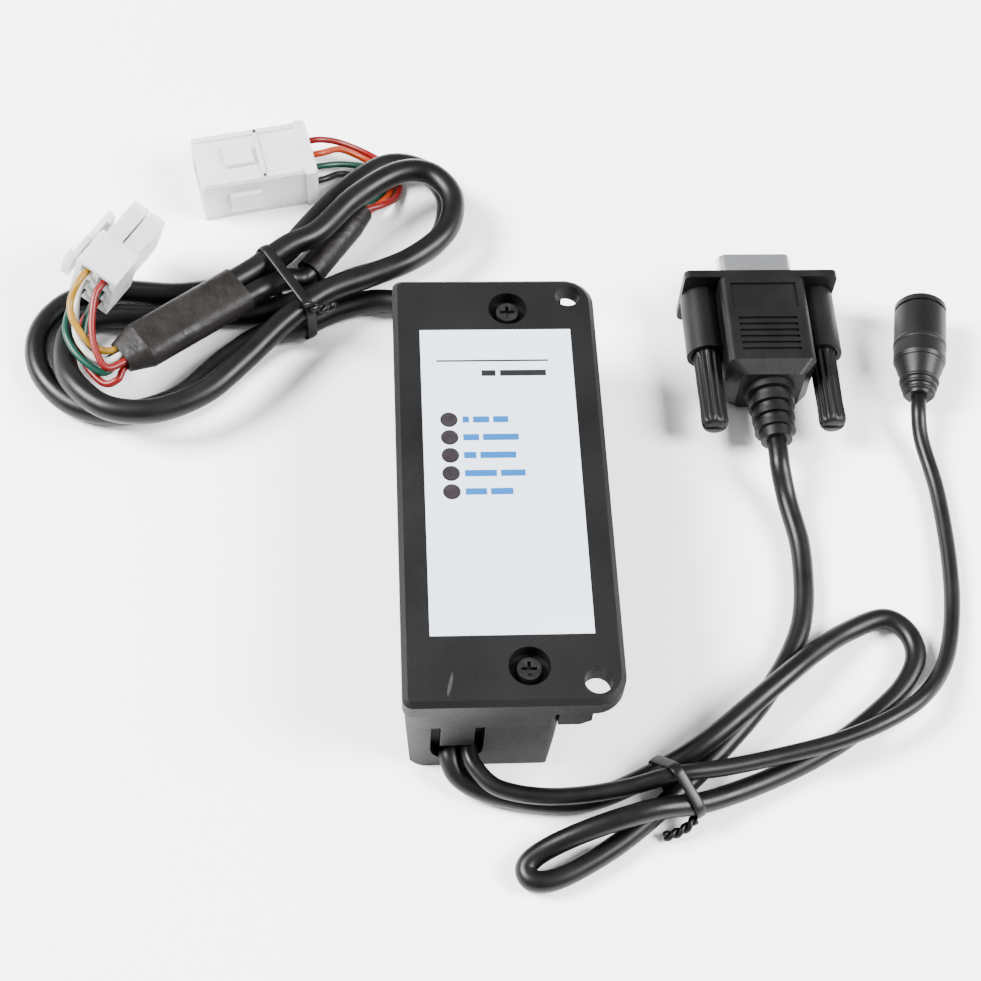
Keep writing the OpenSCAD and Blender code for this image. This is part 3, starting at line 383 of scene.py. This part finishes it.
# Wires of the receptacle, from the splice sleeve to the housing
RECEPTACLE_WIRES = {
    "yellow_wire": ("yellow", [
        (-71.6, 48.2, 10.1), (-78.1, 43.5, 10.1), (-81.6, 42.9, 11), (-84, 44.2, 12.8), (-86.6, 47.6, 14.8),
        (-87.2, 51.2, 16.2), (-85.6, 54.6, 18.4), (-83.4, 58.1, 18.6)]),
    "white_wire": ("white", [
        (-70.6, 46.7, 10.1), (-77, 42, 10.1), (-80.2, 40.4, 10.2), (-83.6, 42, 10.8), (-86.2, 46, 11.7),
        (-86.4, 50.6, 13.2), (-86.1, 55.2, 14.4), (-84.5, 58.8, 14.6)]),
    "red_wire_a": ("red", [
        (-69.5, 45.2, 10.1), (-75.9, 40.5, 10.1), (-79.5, 38.2, 10.9), (-81.5, 40.6, 12.4),
        (-82.6, 44.6, 14), (-82.6, 49, 15.6), (-81.9, 53, 17.1), (-80, 56, 17.3)]),
    "green_wire_a": ("green", [
        (-71.6, 48.2, 8.3), (-78.1, 43.5, 8.3), (-81.6, 41.6, 8.5), (-84.6, 45.6, 9.6), (-84.6, 49.6, 11.4),
        (-82.9, 53.8, 13), (-81.1, 56.7, 13.4)]),
    "green_wire_b": ("green", [
        (-70.6, 46.7, 8.3), (-77, 42, 8.3), (-80.2, 38.6, 8.6), (-83.4, 39.8, 9.4), (-86.6, 43, 10.2),
        (-88.6, 47.4, 10.6), (-88.6, 52, 10.4), (-87.3, 56.4, 10.6), (-85.6, 59.5, 10.7)]),
    "red_wire_b": ("red", [
        (-69.5, 45.2, 8.3), (-75.9, 40.5, 8.3), (-77.6, 37.4, 7.8), (-80.6, 37, 7), (-84.2, 41, 7.4),
        (-86.2, 45.6, 8.2), (-85.9, 50.4, 9), (-83.9, 54.6, 9.2), (-82.2, 57.4, 9.4)]),
}

# Wires of the six-way plug, from the link sleeve to the housing
PLUG_WIRES = {
    "plug_red_wire": ("red", [
        (-28.4, 81.3, 4), (-25.6, 85.4, 4), (-21.8, 87.9, 2.9), (-18.6, 91.4, 1.2), (-17.6, 95.2, 0.9),
        (-19.4, 100.2, 0.9), (-24.6, 104.2, 1.4), (-31, 105, 4.5), (-35.6, 103.6, 7.2), (-39.5, 102.7, 7.4)]),
    "plug_orange_wire": ("orange", [
        (-28.4, 81.3, 2.4), (-25.6, 85.4, 2.4), (-23.3, 88.6, 1.4), (-20.4, 92, 1.1), (-19.4, 95.4, 0.9),
        (-21, 99.4, 0.9), (-25.4, 102.5, 1.6), (-31, 102.6, 5), (-35, 99.6, 7.3), (-38.6, 98.6, 7.4)]),
    "plug_green_wire": ("green", [
        (-29.8, 82.2, 4), (-27, 86.4, 4), (-24.6, 89.6, 2.4), (-22.2, 92.6, 1.1), (-21.3, 95.8, 0.9),
        (-22.6, 98.6, 0.9), (-26.2, 100.8, 1.1), (-31, 100.6, 2.2), (-35, 99.4, 3.1), (-38.6, 98.6, 3.2)]),
    "plug_black_wire": ("black", [
        (-29.8, 82.2, 2.4), (-27, 86.4, 2.4), (-25.6, 89.6, 1.2), (-24, 93.2, 0.9), (-23.3, 95.6, 0.9),
        (-25, 97.6, 0.9), (-28, 98.3, 1), (-31.5, 98, 1.8), (-34.6, 95.6, 3), (-37.7, 94.5, 3.2)]),
}


def lay_cord(name, route, diameter, key):
    piece, length = cord_curve(name + "_run", route, diameter, key)
    place(piece, "case", name)


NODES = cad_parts
lay_cord("trunk_cable", TRUNK, TRUNK_D, "cord")
lay_cord("link_cable", LINK, LINK_D, "cord")
lay_cord("serial_cable", SERIAL, SERIAL_D, "cord")
lay_cord("power_cable", POWER, POWER_D, "cord")
for wire, (key, route) in RECEPTACLE_WIRES.items():
    lay_cord(wire, route, WIRE_D, key)
for wire, (key, route) in PLUG_WIRES.items():
    lay_cord(wire, route, WIRE_D, key)


# ---------------------------------------------------------------- label print, windows


def rounded_outline(x0, x1, y0, y1, r, steps=6):
    """A rectangle's outline with round corners; r is one radius or one for each corner."""
    radii = r if isinstance(r, (list, tuple)) else [r] * 4
    corners = [(x1, y1, -1, -1, 0), (x0, y1, 1, -1, 90), (x0, y0, 1, 1, 180), (x1, y0, -1, 1, 270)]
    points = []
    for (x, y, sx, sy, start), radius in zip(corners, radii):
        for k in range(steps + 1):
            a = math.radians(start + 90 * k / steps)
            points.append((x + sx * radius + radius * math.cos(a), y + sy * radius + radius * math.sin(a)))
    return points


def loft(name, rings, key, smooth=True, caps=True):
    """A skin over rings of as many points each, with a flat face at each end."""
    count = len(rings[0])
    points = [p for ring in rings for p in ring]
    faces = []
    for i in range(len(rings) - 1):
        for k in range(count):
            a, b = i * count + k, i * count + (k + 1) % count
            faces.append((a, b, b + count, a + count))
    if caps:
        faces.append(tuple(range(count)))
        faces.append(tuple((len(rings) - 1) * count + k for k in range(count)))
    return mesh_piece(name, points, faces, key, smooth)


def join(name, pieces):
    """One piece out of several, at the origin."""
    work = bmesh.new()
    for piece in pieces:
        piece.data.transform(piece.matrix_world)
        work.from_mesh(piece.data)
    mesh = bpy.data.meshes.new(name)
    work.to_mesh(mesh)
    work.free()
    for slot in pieces[0].data.materials:
        mesh.materials.append(slot)
    for piece in pieces:
        bpy.data.objects.remove(piece)
    return bpy.data.objects.new(name, mesh)


LABEL_TOP = 27.75
PRINT_T = 0.02


def print_bar(name, x0, x1, y0, y1, key):
    """A flat printed bar on the label."""
    rings = []
    for z, inset in ((LABEL_TOP - 0.01, 0), (LABEL_TOP + PRINT_T * 0.6, 0), (LABEL_TOP + PRINT_T, 0.03)):
        outline = rounded_outline(x0 + inset, x1 - inset, y0 + inset, y1 - inset, 0.12, 3)
        rings.append([(x, y, z) for x, y in outline])
    return loft(name, rings, key, smooth=False)


# Each legend is a row of plain bars beside its window: word lengths in millimetres
LEGENDS = ((1.3, 3.2, 3.0), (3.1, 7.0), (2.4, 7.0), (6.2, 4.8), (4.1, 4.3))
LEGEND_X = -7.4
LEGEND_GAP = 0.75
LEGEND_H = 1.45
WINDOW_X = -10.05
WINDOW_MID_Y = 5.05
WINDOW_PITCH = 4.12
# Section of the dark rim around a window: radius and height
RIM_SECTION = ((1.47, 27.76), (1.47, 27.84), (1.62, 27.84), (1.72, 27.76))
RIM_STEPS = 40
# The line above the title and the title's two bars: left, right, front and rear
TITLE_BARS = ((-12.1, 10.3, 27.1, 27.5), (-3.2, -0.4, 23.6, 25.0), (0.5, 9.7, 23.6, 25.0))


def make_print():
    """The legends and title as plain bars, and a dark rim around each window."""
    bars = []
    for row, words in enumerate(LEGENDS):
        y = WINDOW_MID_Y + (2 - row) * WINDOW_PITCH
        x = LEGEND_X
        for word in words:
            bars.append(print_bar("bar", x, x + word, y - LEGEND_H / 2, y + LEGEND_H / 2, "print_blue"))
            x += word + LEGEND_GAP
    place(join("label_legends", bars), "case")
    title = [print_bar("bar", *sides, "print_black") for sides in TITLE_BARS]
    place(join("label_title", title), "case")
    rims = []
    for row in range(5):
        y = WINDOW_MID_Y + (2 - row) * WINDOW_PITCH
        rings = []
        for r, z in RIM_SECTION:
            turns = [2 * math.pi * k / RIM_STEPS for k in range(RIM_STEPS)]
            rings.append([(WINDOW_X + r * math.cos(a), y + r * math.sin(a), z) for a in turns])
        rims.append(loft("rim", rings, "print_black", caps=False))
    place(join("window_rims", rims), "case")


make_print()


# ---------------------------------------------------------------- thumbscrews

PLUG_AT = (59.3, 20.3, 7.65)
THUMB_IN = 12.5
THUMB_FLUTES = 12
THUMB_FLUTE_DEPTH = 0.075
# Along the thumbscrew: distance from the boot's end, radius and how deep its flutes are, 0 to 1
THUMB_PROFILE = (
    (3.5, 2.0, 0), (3.7, 2.35, 0), (4.3, 2.75, 0.2), (5.2, 2.9, 1), (9.0, 2.78, 1), (14.0, 2.86, 1),
    (20.5, 2.95, 1), (21.6, 2.97, 0.3), (22.2, 2.95, 0), (23.7, 2.9, 0), (23.7, 1.4, 0), (40.5, 1.4, 0),
)


def make_thumbscrew(side, name, body, node):
    """A moulded thumbscrew: deep lengthwise flutes, a slotted end and a plain shank."""
    around = THUMB_FLUTES * 8
    rings = []
    for y, r, fluted in THUMB_PROFILE:
        ring = []
        for k in range(around):
            a = 2 * math.pi * k / around
            wave = max(-0.6, min(0.6, math.cos(THUMB_FLUTES * a) * 1.4)) / 0.6
            radius = r * (1 - fluted * THUMB_FLUTE_DEPTH * (1 - wave))
            ring.append((radius * math.cos(a), y, radius * math.sin(a)))
        rings.append(ring)
    piece = loft(name, rings, "hood")
    cutter = loft("slot_cutter", [
        [(x, y, z) for x, z in rounded_outline(-4, 4, -0.45, 0.45, 0.05, 2)] for y in (2.0, 4.9)], "hood")
    bpy.context.scene.collection.objects.link(cutter)
    cutter.hide_render = True
    cut = piece.modifiers.new("slot", "BOOLEAN")
    cut.object = cutter
    cut.operation = "DIFFERENCE"
    piece.matrix_world = Matrix.Translation(
        Vector((PLUG_AT[0] + side * THUMB_IN, PLUG_AT[1], PLUG_AT[2])) * MM)
    cutter.matrix_world = piece.matrix_world
    apply_modifiers(piece)
    bpy.data.objects.remove(cutter)
    place(piece, body, node)


def apply_modifiers(piece):
    """Makes a piece's modifiers part of its mesh."""
    if piece.name not in bpy.context.scene.collection.objects:
        bpy.context.scene.collection.objects.link(piece)
    bpy.context.view_layer.update()
    shape = piece.evaluated_get(bpy.context.evaluated_depsgraph_get())
    mesh = bpy.data.meshes.new_from_object(shape)
    piece.modifiers.clear()
    piece.data = mesh


make_thumbscrew(-1, "left_thumbscrew_head", "left_screw", "left_thumbscrew")
make_thumbscrew(1, "right_thumbscrew_head", "right_screw", "right_thumbscrew")


# ---------------------------------------------------------------- ties


def strap(name, line, width, thickness, across):
    """A flat strap along a line; across is the way its width runs."""
    rings = []
    last = len(line) - 1
    wide = Vector(across).normalized()
    for i, at in enumerate(line):
        ahead = (line[min(i + 1, last)] - line[max(i - 1, 0)]).normalized()
        out = ahead.cross(wide).normalized()
        ring = []
        for k in range(12):
            a = 2 * math.pi * k / 12
            ring.append(at + wide * (width / 2 * math.cos(a)) + out * (thickness / 2 * math.sin(a)))
        rings.append(ring)
    return loft(name, rings, "cord")


def round_rod(name, line, radius):
    """A round strand along a line, narrowed a little at its tip."""
    rings = []
    last = len(line) - 1
    for i, at in enumerate(line):
        ahead = (line[min(i + 1, last)] - line[max(i - 1, 0)]).normalized()
        side = ahead.cross(Vector((0, 0, 1))).normalized()
        up = side.cross(ahead)
        r = radius * (0.7 if i == last else 1)
        rings.append([at + side * (r * math.cos(a)) + up * (r * math.sin(a))
                      for a in (2 * math.pi * k / 10 for k in range(10))])
    return loft(name, rings, "cord")


def hull_outline(circles, steps=36):
    """The outline of a loop pulled round circles, as [x, z] points: the farthest point each way."""
    outline = []
    for k in range(steps * 4):
        a = 2 * math.pi * k / (steps * 4)
        way = (math.cos(a), math.sin(a))
        best = max(circles, key=lambda c: c[0] * way[0] + c[1] * way[1] + c[2])
        outline.append((best[0] + best[2] * way[0], best[1] + best[2] * way[1]))
    return outline


def make_tie(name, node, middle, turn, strands, tail):
    """A tie round strands given as (across, height, diameter), with a twisted tail."""
    across = Vector((math.cos(math.radians(turn)), math.sin(math.radians(turn)), 0))
    through = Vector((-across.y, across.x, 0))
    slack = 0.35 + 0.225
    outline = hull_outline([(x, z, d / 2 + slack) for x, z, d in strands])
    centre = Vector((*middle, 0))
    line = [centre + across * x + Vector((0, 0, z)) for x, z in outline]
    line.append(line[0])
    loop = strap(name + "_loop", line, 2.2, 0.4, through)
    parts = [loop]
    for phase in (0, math.pi):
        pts = tube_points(tail, 10)
        twisted = []
        for i, at in enumerate(pts):
            ahead = (pts[min(i + 1, len(pts) - 1)] - pts[max(i - 1, 0)]).normalized()
            side = ahead.cross(Vector((0, 0, 1))).normalized()
            up = side.cross(ahead)
            a = phase + i * 0.36
            twisted.append(at + side * (0.5 * math.cos(a)) + up * (0.5 * math.sin(a)))
        parts.append(round_rod(name + "_tail", twisted, 0.55))
    place(join(name + "_strap", parts), "case", node)


make_tie("rear_tie", "rear_tie", (-43.3, 61.8), -58.5,
         [(8.5, 3.4, 5.2), (8.2, 9.5, 5.2), (-9.1, 3.6, 5.2), (-6.3, 9.6, 5.2), (1.9, 3.4, 5.2)],
         [(-38.6, 53.0, 12.6), (-36.2, 51.6, 13.2), (-34.2, 51.8, 12.8), (-32.6, 53.2, 12.4)])
make_tie("front_tie", "front_tie", (31.5, -55), -57.3,
         [(-4.7, 3.4, 4.2), (4.6, 5.2, 4.2), (0.6, 2.9, 4.2), (-1.2, 8.2, 3.3)],
         [(34.4, -61.0, 3.0), (32.6, -62.4, 2.2), (30.6, -63.2, 1.6), (28.6, -63.6, 1.3)])


# ---------------------------------------------------------------- small moulded details


def turned(name, profile, key, steps=64):
    """A ring of revolution about Y from [y, radius] points, closed through its last point."""
    rings = [[(r * math.cos(2 * math.pi * k / steps), y, r * math.sin(2 * math.pi * k / steps))
              for k in range(steps)] for y, r in (*profile, profile[0])]
    return loft(name, rings, key, caps=False)


def placed(at, turn):
    """The place of a piece: at a point in millimetres, turned about Z by degrees."""
    return Matrix.Translation(Vector(at) * MM) @ Matrix.Rotation(math.radians(turn), 4, "Z")


JACK_AT = (91.9, 32.3, 5.6)
JACK_TURN = -10
JACK_RINGS = (1.0, 2.4, 3.8)
# Radius of the jack's tail at its cord end, and how much it grows for each millimetre
JACK_TAIL_R = 2.7
JACK_TAIL_SLOPE = 0.29
# Sections of a ring and of the middle band: place along the jack and radius
RING_SECTION = ((-0.4, -0.4), (-0.35, 0.3), (-0.2, 0.42), (0.2, 0.48), (0.35, 0.35), (0.4, -0.4))
BAND_SECTION = ((12.6, 5.4), (12.7, 5.66), (12.9, 5.72), (13.6, 5.72), (13.8, 5.66), (13.9, 5.4))


def make_jack_rings():
    """Rings moulded around the cord end of the power jack, and a band around its middle."""
    parts = []
    for y in JACK_RINGS:
        r = JACK_TAIL_R + y * JACK_TAIL_SLOPE
        parts.append(turned("ring", tuple((y + dy, r + dr) for dy, dr in RING_SECTION), "hood"))
    parts.append(turned("band", BAND_SECTION, "hood"))
    rings = join("jack_rings", parts)
    rings.matrix_world = placed(JACK_AT, JACK_TURN)
    place(rings, "case")


PLUG_6_AT = (-37.6, 98.8, 5.3)
PLUG_6_TURN = 102
# Bars on top of the six-way plug: left, right, rear, front and height, from the middle of its rear
PLUG_BARS = ((-7.2, -5.9, 3.2, 25.4, 0.45), (5.9, 7.2, 3.2, 25.4, 0.45), (-2.6, 2.6, 13.2, 19.8, 1.1),
             (-7.2, 7.2, 11.2, 12.2, 0.45))
PLUG_TOP = 5.3


def make_plug_bars():
    """Rails and a locking ramp on top of the six-way plug."""
    parts = []
    for x0, x1, y0, y1, tall in PLUG_BARS:
        rings = []
        for z, inset in ((PLUG_TOP - 0.3, 0), (PLUG_TOP + tall * 0.7, 0), (PLUG_TOP + tall, 0.22)):
            outline = rounded_outline(x0 + inset, x1 - inset, y0 + inset, y1 - inset, 0.3, 4)
            rings.append([(x, y, z) for x, y in outline])
        parts.append(loft("bar", rings, "nylon", smooth=False))
    bars = join("plug_rails", parts)
    bars.matrix_world = placed(PLUG_6_AT, PLUG_6_TURN)
    place(bars, "case")


SCUFF = (
    (-11.4, -41.3, 0.1), (-11.5, -42.4, 0.38), (-11.8, -43.8, 0.5), (-12.1, -45.1, 0.36), (-12.3, -46.2, 0.1),
)
SCUFF_EDGE_Z = 27.59
SCUFF_TOP_Z = 27.605


def make_scuff():
    """A pale rub mark on the lid, given as points with half widths."""
    rings = []
    for x, y, half in SCUFF:
        across = ((-1, SCUFF_EDGE_Z), (-0.6, SCUFF_TOP_Z), (0.6, SCUFF_TOP_Z), (1, SCUFF_EDGE_Z))
        rings.append([(x + share * half, y, z) for share, z in across])
    place(loft("lid_scuff", rings, "scuff"), "case")


make_jack_rings()
make_plug_bars()
make_scuff()


# ---------------------------------------------------------------- edges of the CAD nodes

EDGE_WIDTHS = {
    "lid": 0.35, "base_shell": 0.4, "db9_hood": 0.35, "receptacle_housing": 0.25, "receptacle_latch": 0.2,
    "plug_housing": 0.3, "db9_shell": 0.12, "front_gland": 0.4, "rear_gland": 0.4,
    "serial_strain_relief": 0.2, "jack_body": 0.2,
}
for node_name, width in EDGE_WIDTHS.items():
    soft_edges(NODES[node_name], width)


# ---------------------------------------------------------------- floor and light


def make_floor():
    material = finish_of("floor_paper", (0.90, 0.90, 0.90), (0.92, 0.92, 0.92), (0.8, 0.9), 200, 0.01, 3)
    size = 3000
    points = [(-size, -size, 0), (size, -size, 0), (size, size, 0), (-size, size, 0)]
    mesh = bpy.data.meshes.new("floor")
    mesh.from_pydata([Vector(p) * MM for p in points], [], [(0, 1, 2, 3)])
    mesh.materials.append(material)
    floor = bpy.data.objects.new("floor", mesh)
    floor.location.z = -0.02 * MM
    bpy.context.scene.collection.objects.link(floor)


def soft_light(name, at, size, power):
    data = bpy.data.lights.new(name, "AREA")
    data.shape = "DISK"
    data.size = size
    data.energy = power
    light = bpy.data.objects.new(name, data)
    light.location = at
    light.rotation_mode = "QUATERNION"
    light.rotation_quaternion = Vector(at).to_track_quat("Z", "Y")
    bpy.context.scene.collection.objects.link(light)


def make_light():
    soft_light("key", (-0.85, 0.15, 0.85), 0.55, 78)
    soft_light("fill", (0.9, -0.2, 0.8), 0.6, 58)
    world = bpy.data.worlds.new("studio")
    world.use_nodes = True
    world.node_tree.nodes["Background"].inputs["Color"].default_value = (1, 1, 1, 1)
    world.node_tree.nodes["Background"].inputs["Strength"].default_value = 0.85
    bpy.context.scene.world = world


make_floor()
make_light()
